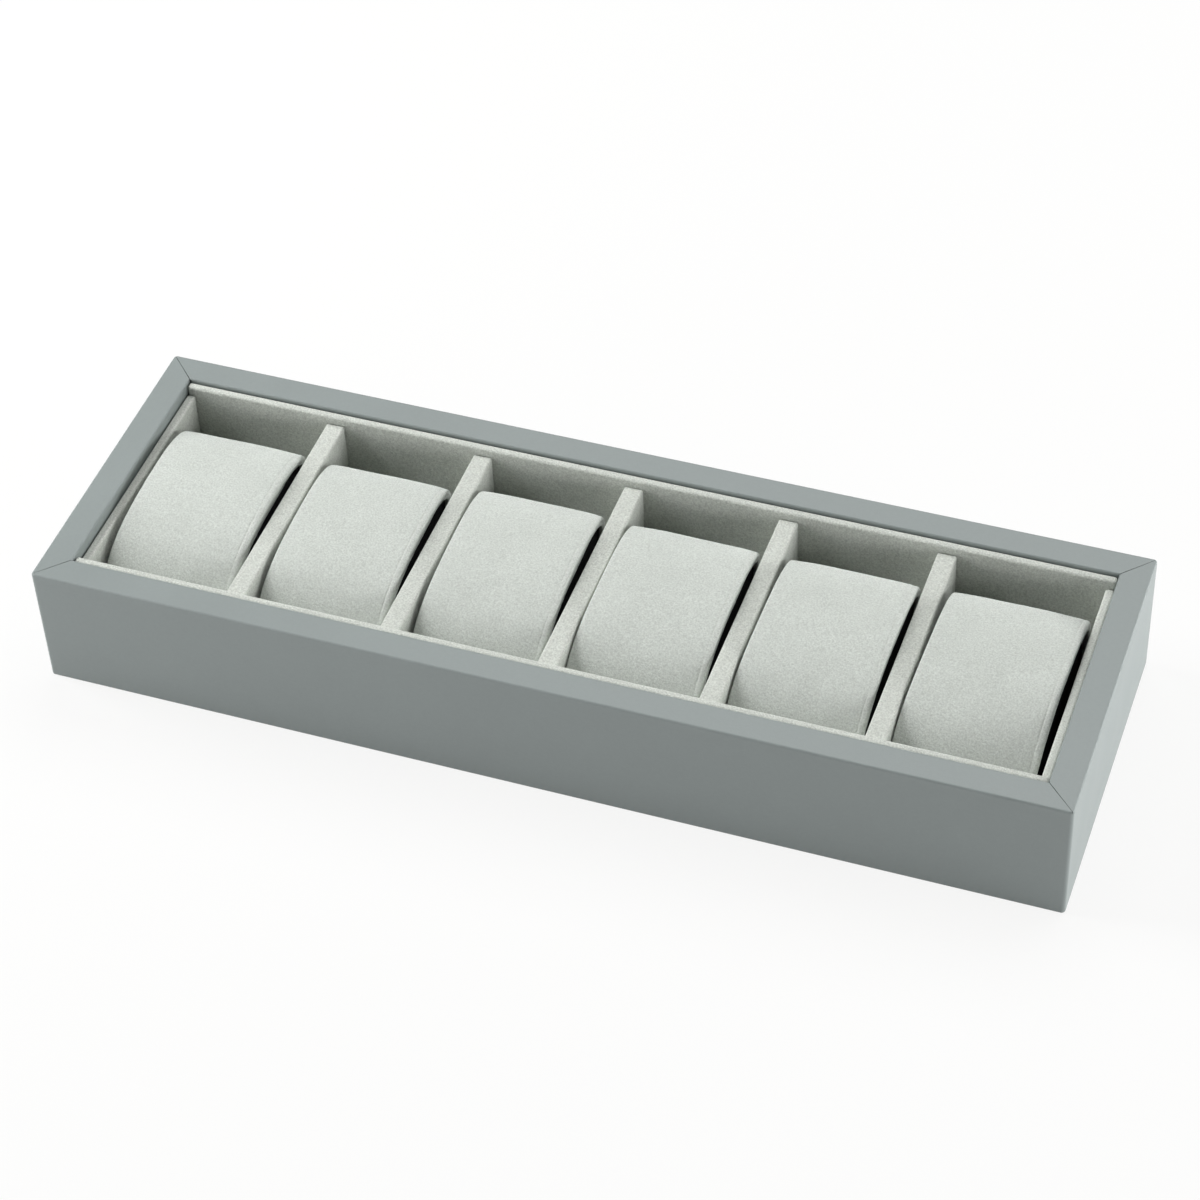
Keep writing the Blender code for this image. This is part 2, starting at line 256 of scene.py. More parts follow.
class SuedeSettings(bpy.types.PropertyGroup):
    """Sizes and finish of the suede-wrapped linings and dividers."""

    colour: bpy.props.FloatVectorProperty(
        name="Suede",
        description="Colour of the suede",
        default=(0.594, 0.619, 0.573),
        **COLOUR,
    )
    cushion_colour: bpy.props.FloatVectorProperty(
        name="Cushion suede",
        description="Colour of the suede on the cushions",
        default=(0.562, 0.593, 0.555),
        **COLOUR,
    )
    sheen: bpy.props.FloatProperty(
        name="Sheen",
        description="How much the nap glows where the eye skims over it",
        default=0.30,
        **SHARE,
    )
    nap: bpy.props.FloatProperty(
        name="Nap",
        description="Width of one tuft of the suede's nap",
        default=0.0006,
        **LENGTH,
    )
    lining_radius: bpy.props.FloatProperty(
        name="Lining edge radius",
        description="Radius of the padded edges of the linings",
        default=0.0010,
        **LENGTH,
    )
    divider_radius: bpy.props.FloatProperty(
        name="Divider edge radius",
        description="Radius of the wrapped edges of the dividers",
        default=0.0007,
        **LENGTH,
    )


class CushionSettings(bpy.types.PropertyGroup):
    """Sizes of the cushions' covers, seams and foam."""

    lift: bpy.props.FloatProperty(
        name="Crest lift",
        description="How far the wadding lifts the crest above the bare block",
        default=0.0014,
        **LENGTH,
    )
    crown: bpy.props.FloatProperty(
        name="Crown",
        description="How far the cover rises between its two side edges",
        default=0.0005,
        **LENGTH,
    )
    front_fullness: bpy.props.FloatProperty(
        name="Front fullness",
        description="How far each side swells out towards the front",
        default=0.0004,
        **LENGTH,
    )
    edge_width: bpy.props.FloatProperty(
        name="Edge width",
        description="Width of the rolled edge, from its seam outwards",
        default=0.0023,
        **LENGTH,
    )
    edge_drop: bpy.props.FloatProperty(
        name="Edge drop",
        description="Height over which the edge rolls into the side",
        default=0.0012,
        **LENGTH,
    )
    side_depth: bpy.props.FloatProperty(
        name="Side depth",
        description="Height of the cover's side wall",
        default=0.0047,
        **LENGTH,
    )
    side_lean: bpy.props.FloatProperty(
        name="Side lean",
        description="How far the side wall draws in under its edge",
        default=0.00030,
        **LENGTH,
    )
    side_thickness: bpy.props.FloatProperty(
        name="Side thickness",
        description="Thickness of the cover's side wall",
        default=0.0012,
        **LENGTH,
    )
    seam_depth: bpy.props.FloatProperty(
        name="Seam depth",
        description="How deep the seam pulls into the padding",
        default=0.00012,
        **LENGTH,
    )
    unevenness: bpy.props.FloatProperty(
        name="Unevenness",
        description="Height of the soft hollows in the padding",
        default=0.00018,
        **LENGTH,
    )
    stitch_pitch: bpy.props.FloatProperty(
        name="Stitch pitch",
        description="Distance from one stitch to the next",
        default=0.0024,
        **LENGTH,
    )
    stitch_length: bpy.props.FloatProperty(
        name="Stitch length",
        description="Length of thread that shows in one stitch",
        default=0.0016,
        **LENGTH,
    )
    thread: bpy.props.FloatProperty(
        name="Thread",
        description="Thickness of the sewing thread",
        default=0.00022,
        **LENGTH,
    )


class StageSettings(bpy.types.PropertyGroup):
    """Camera, floor and lights."""

    camera_place: bpy.props.FloatVectorProperty(
        name="Camera",
        description="Where the camera stands",
        default=(0.2973, -0.7537, 0.8371),
        **PLACE,
    )
    camera_aim: bpy.props.FloatVectorProperty(
        name="Aim",
        description="The point in the middle of the picture",
        default=(0.0015, 0.0034, 0.0300),
        **PLACE,
    )
    camera_roll: bpy.props.FloatProperty(
        name="Roll",
        description="Turn of the camera about its own line of sight",
        subtype="ANGLE",
        unit="ROTATION",
        default=math.radians(-2.94),
    )
    camera_lens: bpy.props.FloatProperty(
        name="Lens",
        description="Focal length for a 36 mm wide picture",
        subtype="DISTANCE_CAMERA",
        unit="CAMERA",
        default=101.06,
    )
    key_power: bpy.props.FloatProperty(
        name="Key light",
        description="Power of the soft box at the upper left",
        default=15.1,
        **POWER,
    )
    side_power: bpy.props.FloatProperty(
        name="Side light",
        description="Power of the large soft box low at the left",
        default=12.0,
        **POWER,
    )
    top_power: bpy.props.FloatProperty(
        name="Top light",
        description="Power of the large soft box above and behind",
        default=19.7,
        **POWER,
    )
    right_power: bpy.props.FloatProperty(
        name="Right card",
        description="Power of the low card at the right",
        default=7.6,
        **POWER,
    )
    back_power: bpy.props.FloatProperty(
        name="Back card",
        description="Power of the low card at the right, towards the back",
        default=3.9,
        **POWER,
    )
    front_power: bpy.props.FloatProperty(
        name="Front card",
        description="Power of the low card at the left, in front",
        default=3.2,
        **POWER,
    )
    sky: bpy.props.FloatProperty(
        name="Room light",
        description="Brightness of the even light from the room",
        default=0.0,
        min=0.0,
    )
    floor_shade: bpy.props.FloatProperty(
        name="Floor shade",
        description="How much of the floor's real shading shows in its white",
        default=0.13,
        **SHARE,
    )


def arc(centre, radius, start, stop, steps):
    """Points on a circle between two angles in degrees, both ends included."""
    points = []
    for step in range(steps + 1):
        angle = math.radians(start + (stop - start) * step / steps)
        points.append((centre[0] + radius * math.cos(angle), centre[1] + radius * math.sin(angle)))
    return points


def cubic(start, first, second, end, steps):
    """Points on a cubic curve, without its last one."""
    points = []
    for step in range(steps):
        t = step / steps
        s = 1.0 - t
        weights = (s * s * s, 3 * s * s * t, 3 * s * t * t, t * t * t)
        corners = (start, first, second, end)
        y = sum(w * c[0] for w, c in zip(weights, corners))
        z = sum(w * c[1] for w, c in zip(weights, corners))
        points.append((y, z))
    return points


def skin(bm, rails, closed_across, closed_along=True):
    """Faces between neighbouring rails, each a row of vertices."""
    last = len(rails) if closed_across else len(rails) - 1
    count = len(rails[0])
    steps = count if closed_along else count - 1
    for index in range(last):
        rail = rails[index]
        following = rails[(index + 1) % len(rails)]
        for step in range(steps):
            after = (step + 1) % count
            bm.faces.new((rail[step], rail[after], following[after], following[step]))


def object_from(bm, name, material):
    """Makes a named object at the origin from a bmesh."""
    mesh = bpy.data.meshes.new(name)
    bm.to_mesh(mesh)
    bm.free()
    mesh.materials.append(material)
    piece = bpy.data.objects.new(name, mesh)
    bpy.context.scene.collection.objects.link(piece)
    return piece


def piece_from(bm, name, material, smooth_angle=40, weighted=False):
    """A smooth-shaded object from a bmesh, its faces pointing out, sharp above an angle."""
    bmesh.ops.recalc_face_normals(bm, faces=bm.faces)
    piece = object_from(bm, name, material)
    piece.data.shade_smooth()
    piece.data.set_sharp_from_angle(angle=math.radians(smooth_angle))
    if weighted:
        modifier = piece.modifiers.new("flat faces stay flat", "WEIGHTED_NORMAL")
        modifier.keep_sharp = True
        apply_modifiers(piece)
    return piece


def apply_modifiers(piece):
    """Turns a piece and its modifiers into a plain mesh."""
    graph = bpy.context.evaluated_depsgraph_get()
    plain = bpy.data.meshes.new_from_object(
        piece.evaluated_get(graph), preserve_all_data_layers=True, depsgraph=graph
    )
    old = piece.data
    piece.modifiers.clear()
    piece.data = plain
    plain.name = piece.name
    bpy.data.meshes.remove(old)
    return piece


def settle(piece, slot, *nodes):
    """The piece rides on the tray and stands for its solids, which it hides; the slot is not used.
    """
    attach(piece, ROOT)
    if nodes:
        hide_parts(*nodes)


def new_material(name):
    """A material with its shader and the object's own coordinates."""
    material = bpy.data.materials.new(name)
    material.use_nodes = True
    nodes = material.node_tree.nodes
    shader = nodes["Principled BSDF"]
    coordinates = nodes.new("ShaderNodeTexCoord")
    return material, shader, coordinates.outputs["Object"]


def add_noise(material, vector, width, detail=3.0, roughness=0.55, distortion=0.0):
    """Noise whose spots are about the given width."""
    texture = material.node_tree.nodes.new("ShaderNodeTexNoise")
    texture.inputs["Scale"].default_value = 1.0 / width
    texture.inputs["Detail"].default_value = detail
    texture.inputs["Roughness"].default_value = roughness
    texture.inputs["Distortion"].default_value = distortion
    material.node_tree.links.new(vector, texture.inputs["Vector"])
    return texture.outputs["Fac"]


def add_cells(material, vector, width):
    """Rounded cells of about the given width: distance from each cell's middle."""
    texture = material.node_tree.nodes.new("ShaderNodeTexVoronoi")
    texture.inputs["Scale"].default_value = 1.0 / width
    material.node_tree.links.new(vector, texture.inputs["Vector"])
    return texture.outputs["Distance"]


def add_range(material, value, low, high, out_low, out_high):
    """Maps one range of values onto another."""
    node = material.node_tree.nodes.new("ShaderNodeMapRange")
    node.inputs["From Min"].default_value = low
    node.inputs["From Max"].default_value = high
    node.inputs["To Min"].default_value = out_low
    node.inputs["To Max"].default_value = out_high
    material.node_tree.links.new(value, node.inputs["Value"])
    return node.outputs["Result"]


def combine(material, first, second, operation):
    """Adds or multiplies a value by another value or by a plain number."""
    node = material.node_tree.nodes.new("ShaderNodeMath")
    node.operation = operation
    material.node_tree.links.new(first, node.inputs[0])
    if hasattr(second, "is_output"):
        material.node_tree.links.new(second, node.inputs[1])
    else:
        node.inputs[1].default_value = second
    return node.outputs["Value"]


def tint(material, shader, colour, value):
    """Multiplies the colour by a value from the pattern, and sends it to the shader."""
    node = material.node_tree.nodes.new("ShaderNodeVectorMath")
    node.operation = "SCALE"
    node.inputs[0].default_value = colour
    material.node_tree.links.new(value, node.inputs["Scale"])
    material.node_tree.links.new(node.outputs["Vector"], shader.inputs["Base Color"])


def add_bump(material, shader, height, strength, distance):
    """Small relief in the shading: its strength, and the height in metres that 1 stands for."""
    node = material.node_tree.nodes.new("ShaderNodeBump")
    node.inputs["Strength"].default_value = strength
    node.inputs["Distance"].default_value = distance
    material.node_tree.links.new(height, node.inputs["Height"])
    material.node_tree.links.new(node.outputs["Normal"], shader.inputs["Normal"])


def leatherette_material(settings):
    """Smooth satin leatherette: a fine pebble grain, faint clouds and a slightly uneven gloss."""
    material, shader, place = new_material("grey_leatherette")
    pebbles = add_cells(material, place, settings.grain)
    clouds = add_noise(material, place, width=0.030, detail=2.0)
    specks = add_noise(material, place, width=0.0012, detail=3.0)
    shade = combine(
        material,
        add_range(material, clouds, *NOISE_RANGE, out_low=0.975, out_high=1.02),
        add_range(material, specks, *NOISE_RANGE, out_low=0.985, out_high=1.015),
        "MULTIPLY",
    )
    tint(material, shader, settings.colour, shade)
    gloss = add_range(
        material,
        clouds,
        *NOISE_RANGE,
        out_low=settings.roughness - 0.03,
        out_high=settings.roughness + 0.04,
    )
    material.node_tree.links.new(gloss, shader.inputs["Roughness"])
    shader.inputs["IOR"].default_value = 1.48
    add_bump(material, shader, pebbles, strength=0.12, distance=0.0001)
    return material


def suede_material(settings, name, colour, nap_depth, sheen_factor):
    """Microfibre suede: short uneven nap, soft patches where it lies differently, a pale sheen."""
    material, shader, place = new_material(name)
    tufts = add_noise(material, place, settings.nap, detail=3.0, roughness=0.6, distortion=0.3)
    fibres = add_noise(material, place, settings.nap * 0.4, detail=2.0, roughness=0.6)
    patches = add_noise(material, place, width=0.014, detail=2.0, distortion=0.6)
    contrast = 0.22 * nap_depth
    shade = combine(
        material,
        add_range(material, tufts, *NOISE_RANGE, out_low=1.0 - contrast, out_high=1.0 + contrast),
        add_range(material, patches, *NOISE_RANGE, out_low=0.97, out_high=1.03),
        "MULTIPLY",
    )
    tint(material, shader, colour, shade)
    shader.inputs["Roughness"].default_value = 0.92
    shader.inputs["Specular IOR Level"].default_value = 0.25
    shader.inputs["Sheen Weight"].default_value = settings.sheen * sheen_factor
    shader.inputs["Sheen Roughness"].default_value = 0.32
    shader.inputs["Sheen Tint"].default_value = SHEEN_TINT
    height = combine(material, tufts, combine(material, fibres, 0.5, "MULTIPLY"), "ADD")
    add_bump(material, shader, height, strength=0.9 * nap_depth, distance=0.00035)
    return material


def foam_material():
    """Dark open-cell foam: small pores over a soft unevenness, with painted shade in the pores."""
    material, shader, place = new_material("dark_foam")
    pores = add_cells(material, place, width=0.0009)
    # The pores are painted darker towards their middles: painted shade inside the open cells.
    shade = add_range(material, pores, low=0.1, high=0.6, out_low=0.5, out_high=1.3)
    tint(material, shader, FOAM_COLOUR, shade)
    shader.inputs["Roughness"].default_value = 0.95
    shader.inputs["Specular IOR Level"].default_value = 0.2
    add_bump(material, shader, pores, strength=0.6, distance=0.0003)
    return material


def fibre_board_material():
    """Raw fibre board: fine brown flecks."""
    material, shader, place = new_material("raw_fibre_board")
    flecks = add_noise(material, place, width=0.0011, detail=4.0, roughness=0.7)
    shade = add_range(material, flecks, *WIDE_NOISE_RANGE, out_low=0.75, out_high=1.2)
    tint(material, shader, FIBRE_BOARD_COLOUR, shade)
    shader.inputs["Roughness"].default_value = 0.85
    add_bump(material, shader, flecks, strength=0.3, distance=0.0001)
    return material


def felt_material():
    """Dark grey felt: matted fibres with a dusty sheen."""
    material, shader, place = new_material("matted_felt")
    fibres = add_noise(material, place, width=0.0008, detail=5.0, roughness=0.7, distortion=1.2)
    shade = add_range(material, fibres, *WIDE_NOISE_RANGE, out_low=0.7, out_high=1.3)
    tint(material, shader, FELT_COLOUR, shade)
    shader.inputs["Roughness"].default_value = 0.97
    shader.inputs["Sheen Weight"].default_value = 0.25
    shader.inputs["Sheen Roughness"].default_value = 0.5
    add_bump(material, shader, fibres, strength=0.5, distance=0.0003)
    return material


def thread_material(settings):
    """Sewing thread in the cushions' own colour, a little darker."""
    material, shader, place = new_material("thread")
    fibres = add_noise(material, place, width=0.0002, detail=2.0)
    shade = add_range(material, fibres, *NOISE_RANGE, out_low=0.70, out_high=0.86)
    tint(material, shader, settings.cushion_colour, shade)
    shader.inputs["Roughness"].default_value = 0.7
    return material


def finish_of(name, make, *values):
    """The material of that name, made the first time that it is asked for."""
    return bpy.data.materials.get(name) or make(*values)


def lining_suede(context):
    """The suede of the linings, the dividers and the floor lining."""
    settings = context.scene.tray_suede
    name = "lining_suede"
    return finish_of(name, suede_material, settings, name, settings.colour, *LINING_NAP)


def cushion_suede(context):
    """The suede of the cushions' covers."""
    settings = context.scene.tray_suede
    name = "cushion_suede"
    colour = settings.cushion_colour
    return finish_of(name, suede_material, settings, name, colour, *CUSHION_NAP)


def board_section(settings):
    """The board's section as (distance out, height, how open the mitre seam is there)."""
    top = TRAY_HIGH.z
    outer = BOARD_THICKNESS
    inner_radius = settings.inner_radius
    top_radius = settings.top_radius
    bottom_radius = settings.bottom_radius
    section = [(REBATE_WIDTH, REBATE_HEIGHT, 0.0), (0.0, REBATE_HEIGHT, 0.0)]
    inner = arc((inner_radius, top - inner_radius), inner_radius, 180, 90, BOARD_ARC_STEPS)
    section += [(out, height, 1.0) for out, height in inner]
    rim = arc((outer - top_radius, top - top_radius), top_radius, 90, 0, BOARD_ARC_STEPS)
    for step, (out, height) in enumerate(rim):
        section.append((out, height, 1.0 - step / BOARD_ARC_STEPS))
    foot = (outer - bottom_radius, TRAY_LOW.z + bottom_radius)
    lower = arc(foot, bottom_radius, 0, -90, BOARD_FOOT_STEPS)
    section += [(out, height, 0.0) for out, height in lower]
    section.append((REBATE_WIDTH, TRAY_LOW.z, 0.0))
    return section


def board_end(settings, half_length, out, height, opening):
    """Places of one line of the board as it turns into its mitre, from straight to seam."""
    radius = settings.corner_radius
    straight = BOARD_THICKNESS - radius
    half_seam = settings.seam_width / 2
    places = []
    for step in range(CORNER_STEPS + 1):
        share = step / CORNER_STEPS
        if out > straight:
            angle = math.radians(45 * share)
            along = half_length - radius + (out - straight) * math.sin(angle)
            away = straight + (out - straight) * math.cos(angle)
        else:
            along = half_length - BOARD_THICKNESS + out - radius * (1 - share)
            away = out
        rise = height
        if step == CORNER_STEPS:
            back = half_seam * opening
            along -= back
            away += back
            rise -= back
        places.append((along, away, rise))
    return places


def frame_board(settings, name, half_length, half_out, turn, material):
    """One mitred board with its wrap, its outer faces meeting its neighbours without a seam."""
    bm = bmesh.new()
    rails = []
    for out, height, opening in board_section(settings):
        end = board_end(settings, half_length, out, height, opening)
        start = [(-along, away, rise) for along, away, rise in end]
        line = start[::-1] + end
        inner = half_out - BOARD_THICKNESS
        rails.append([bm.verts.new((x, -(inner + away), z)) for x, away, z in line])
    skin(bm, rails, closed_across=True, closed_along=False)
    bm.faces.new([rail[0] for rail in rails])
    bm.faces.new([rail[-1] for rail in reversed(rails)])
    bmesh.ops.rotate(bm, verts=bm.verts, cent=(0, 0, 0), matrix=Matrix.Rotation(turn, 3, "Z"))
    return piece_from(bm, name, material, smooth_angle=35, weighted=True)


class TRAY_OT_frame_boards(bpy.types.Operator):
    """Make the four mitred frame boards with their leatherette wrap"""

    bl_idname = "tray.frame_boards"
    bl_label = "Frame boards"

    def execute(self, context):
        settings = context.scene.tray_frame
        material = finish_of("grey_leatherette", leatherette_material, settings)
        half_x = TRAY_HIGH.x
        half_y = TRAY_HIGH.y
        sides = (
            ("front", half_x, half_y, 0.0),
            ("right", half_y, half_x, math.pi / 2),
            ("back", half_x, half_y, math.pi),
            ("left", half_y, half_x, -math.pi / 2),
        )
        for side, half_length, half_out, turn in sides:
            name = "frame_board_" + side
            board = frame_board(settings, name, half_length, half_out, turn, material)
            settle(board, "leatherette", "frame_" + side)
        return {"FINISHED"}


class TRAY_OT_base(bpy.types.Operator):
    """Finish the base board and the floor lining, and lay the felt under the base"""

    bl_idname = "tray.base"
    bl_label = "Base, felt and floor"

    def execute(self, context):
        dress_node("base_board", finish_of("raw_fibre_board", fibre_board_material))
        wrap_in_suede(context, ["floor_lining"], FLOOR_LINING_RADIUS)
        cloth = finish_of("matted_felt", felt_material)
        felt = wrapped_board("base_felt_sheet", "base_felt", FELT_RADIUS, cloth)
        settle(felt, "felt", "base_felt")
        return {"FINISHED"}


def dress_node(node, material):
    """Gives a solid that keeps its own shape its finish."""
    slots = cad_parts[node].data.materials
    slots.clear()
    slots.append(material)


def wrapped_board(name, node, radius, material):
    """A board with a cloth wrap: the solid's box with every edge softly rounded."""
    low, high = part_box(node)
    bm = bmesh.new()
    bmesh.ops.create_cube(bm, size=1.0)
    size = high - low
    middle = (high + low) / 2
    for vertex in bm.verts:
        vertex.co = Vector((middle[i] + vertex.co[i] * size[i] for i in range(3)))
    bmesh.ops.bevel(
        bm,
        geom=list(bm.edges),
        offset=radius,
        offset_type="OFFSET",
        segments=WRAP_STEPS,
        profile=0.5,
        affect="EDGES",
    )
    return piece_from(bm, name, material, smooth_angle=60, weighted=True)


def wrap_in_suede(context, nodes, radius):
    """Makes each of these boards again in the linings' suede."""
    material = lining_suede(context)
    for node in nodes:
        settle(wrapped_board(node + "_wrap", node, radius, material), "suede", node)


class TRAY_OT_linings(bpy.types.Operator):
    """Make the four suede linings inside the frame"""

    bl_idname = "tray.linings"
    bl_label = "Linings"

    def execute(self, context):
        wrap_in_suede(context, LININGS, context.scene.tray_suede.lining_radius)
        return {"FINISHED"}


class TRAY_OT_dividers(bpy.types.Operator):
    """Make the suede dividers between the compartments"""

    bl_idname = "tray.dividers"
    bl_label = "Dividers"

    def execute(self, context):
        wrap_in_suede(context, DIVIDERS, context.scene.tray_suede.divider_radius)
        return {"FINISHED"}


def cushion_outline(low, high, lift, steps):
    """The cushion's side view in Y and Z, from the foot of its nose over the crest to its back."""
    front = low.y
    bottom = low.z
    back = high.y
    top = high.z + lift
    crest = back - CREST_FROM_BACK
    shoulder = high.z - SHOULDER_DROP
    nose = bottom + NOSE_HEIGHT
    foot = BOTTOM_FRONT_RADIUS
    heel = BOTTOM_BACK_RADIUS
    points = cubic(
        (front + foot, bottom),
        (front + foot * (1 - QUARTER_CIRCLE), bottom),
        (front, bottom + NOSE_HEIGHT * (1 - QUARTER_CIRCLE)),
        (front, nose),
        steps // 2,
    )
    points += cubic(
        (front, nose),
        (front, nose + NOSE_FULLNESS * (top - nose)),
        (crest - CREST_FRONT_FULLNESS * (crest - front), top),
        (crest, top),
        2 * steps,
    )
    points += cubic(
        (crest, top),
        (crest + CREST_BACK_FULLNESS * CREST_FROM_BACK, top),
        (back, shoulder + SHOULDER_FULLNESS * (top - shoulder)),
        (back, shoulder),
        steps,
    )
    run = shoulder - bottom - heel
    points += [(back, shoulder - run * step / steps) for step in range(steps)]
    points += arc((back - heel, bottom + heel), heel, 0, -90, steps // 2)
    length = back - heel - front - foot
    points += [(back - heel - length * step / steps, bottom) for step in range(1, steps)]
    return points


def outward(points):
    """The outward direction at each point of a closed outline that runs clockwise."""
    count = len(points)
    directions = []
    for index in range(count):
        before = points[index - 1]
        after = points[(index + 1) % count]
        direction = Vector((after[0] - before[0], after[1] - before[1]))
        direction.normalize()
        directions.append((-direction.y, direction.x))
    return directions


def ease(value, start, stop):
    """Runs smoothly from 0 to 1 between two values."""
    share = min(1.0, max(0.0, (value - start) / (stop - start)))
    return share * share * (3 - 2 * share)


def seated(settings, index, low, high, across, y, z):
    """Where a point of a cushion lies once the cushion sits in its compartment."""
    aside, lean, back, wider = SEATS[index]
    half_width = (high.x - low.x) / 2
    side = max(-1.0, min(1.0, across / half_width))
    swell = wider / 2 + settings.front_fullness * ease(-y, *SWELL_RUN)
    x = (low.x + high.x) / 2 + aside + lean * y + across + side**3 * swell
    return (x, y + back * ease(y, *PUSH_RUN), z)


def edge_profile(settings, half_width, seam_on_top):
    """One side of the cover as (place across, depth), from the middle out, round and back in."""
    width = settings.edge_width if seam_on_top else settings.edge_width * LEFT_EDGE_SHARE
    drop = settings.edge_drop
    round_radius = settings.side_thickness / 2
    foot = settings.side_depth - round_radius
    start = half_width - width + (SEAM_REACH if seam_on_top else 0.0)
    flat = half_width - width - SEAM_REACH
    places = [(flat * step / TOP_STEPS, 0.0) for step in range(TOP_STEPS + 1)]
    if seam_on_top:
        for step in range(1, 2 * SEAM_STEPS + 1):
            offset = SEAM_REACH * (step / SEAM_STEPS - 1)
            dent = settings.seam_depth * math.exp(-((offset / SEAM_WIDTH) ** 2))
            places.append((half_width - width + offset, dent))
    for step in range(1, ROLL_STEPS + 1):
        angle = math.radians(90 * step / ROLL_STEPS)
        across = start + (half_width - start) * math.sin(angle) ** EDGE_SQUARENESS
        places.append((across, drop * (1 - math.cos(angle) ** EDGE_SQUARENESS)))
    for step in range(1, WALL_STEPS + 1):
        share = step / WALL_STEPS
        across = half_width - settings.side_lean * share**LEAN_POWER
        if not seam_on_top:
            offset = (share - SIDE_SEAM_PLACE) / SIDE_SEAM_WIDTH
            across -= settings.seam_depth * math.exp(-(offset**2))
        places.append((across, drop + (foot - drop) * share))
    for step in range(1, HEM_STEPS + 1):
        angle = math.radians(180 * step / HEM_STEPS)
        across = half_width - settings.side_lean - round_radius * (1 - math.cos(angle))
        places.append((across, foot + round_radius * math.sin(angle)))
    inside = half_width - settings.side_lean - settings.side_thickness
    places.append((inside, WALL_ROOT))
    places.append((inside - WALL_FILLET, COVER_THICKNESS))
    places.append((inside / 2, COVER_THICKNESS))
    return places


def cushion_cover(settings, name, index, material):
    """The padded cover round a cushion: a crowned top that rolls over into two low side walls."""
    low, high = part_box(CUSHIONS[index])
    half_width = (high.x - low.x) / 2
    outline = cushion_outline(low, high, settings.lift, COVER_OUTLINE_STEPS)
    directions = outward(outline)
    right = edge_profile(settings, half_width, seam_on_top=True)
    left = edge_profile(settings, half_width, seam_on_top=False)
    section = right + [(-across, depth) for across, depth in reversed(left) if across > 0.0]
    shift = Vector(HOLLOW_SHIFT) * (index + 1)
    bm = bmesh.new()
    rails = []
    for across, depth in section:
        share = min(1.0, abs(across) / half_width)
        middle = 1 - share**4
        outer = depth < settings.edge_drop
        rail = []
        for (y, z), (out_y, out_z) in zip(outline, directions):
            rise = 0.0
            if outer:
                spot = Vector((across, y, z)) / HOLLOW_WIDTH + shift
                rise = settings.crown * middle * min(1.0, (z - low.z) / CROWN_FROM_FLOOR)
                if z > low.z + HOLLOWS_FROM_FLOOR:
                    rise += settings.unevenness * noise.noise(spot) * middle
            cut = WALL_CUT_AT_BACK * ease(y, *WALL_CUT_RUN) * max(0.0, depth - WALL_ROOT)
            reach = rise + cut - depth
            place = seated(
                settings, index, low, high, across, y + out_y * reach, z + out_z * reach
            )
            rail.append(bm.verts.new(place))
        rails.append(rail)
    skin(bm, rails, closed_across=True)
    return piece_from(bm, name, material, smooth_angle=180)


class TRAY_OT_cushion_covers(bpy.types.Operator):
    """Make the padded suede cover of each cushion"""

    bl_idname = "tray.cushion_covers"
    bl_label = "Cushion covers"

    def execute(self, context):
        settings = context.scene.tray_cushions
        suede = cushion_suede(context)
        for index, node in enumerate(CUSHIONS):
            cover = cushion_cover(settings, node + "_wrap", index, suede)
            settle(cover, "suede", node)
        return {"FINISHED"}


def cushion_core(settings, name, index, material):
    """The foam block inside a cover, its side faces standing slightly full."""
    cover_node = CUSHIONS[index]
    low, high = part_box(cover_node.replace("cover", "core"))
    cover_low, cover_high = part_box(cover_node)
    outline = cushion_outline(cover_low, cover_high, settings.lift, CORE_OUTLINE_STEPS)
    depth = COVER_THICKNESS + CORE_CLEARANCE
    base = [
        (y - out_y * depth, z - out_z * depth)
        for (y, z), (out_y, out_z) in zip(outline, outward(outline))
    ]
    middle_y = (low.y + high.y) / 2
    middle_z = (low.z + high.z) / 2
    half_width = (high.x - low.x) / 2 - CORE_SIDE_CLEARANCE
    bm = bmesh.new()
    rails = []
    for side in (-1, 1):
        for share, lost in CORE_RINGS if side < 0 else reversed(CORE_RINGS):
            across = side * (half_width - CORE_FULLNESS * lost)
            rail = []
            for y, z in base:
                inner_y = middle_y + (y - middle_y) * share
                inner_z = middle_z + (z - middle_z) * share
                place = seated(settings, index, cover_low, cover_high, across, inner_y, inner_z)
                rail.append(bm.verts.new(place))
            rails.append(rail)
    skin(bm, rails, closed_across=False)
    bm.faces.new(rails[0])
    bm.faces.new(list(reversed(rails[-1])))
    return piece_from(bm, name, material, smooth_angle=50)


class TRAY_OT_cushion_cores(bpy.types.Operator):
    """Make the foam block inside each cushion's cover"""

    bl_idname = "tray.cushion_cores"
    bl_label = "Cushion cores"

    def execute(self, context):
        settings = context.scene.tray_cushions
        foam = finish_of("dark_foam", foam_material)
        for index, cover_node in enumerate(CUSHIONS):
            node = cover_node.replace("cover", "core")
            core = cushion_core(settings, node + "_foam", index, foam)
            settle(core, "foam", node)
        return {"FINISHED"}


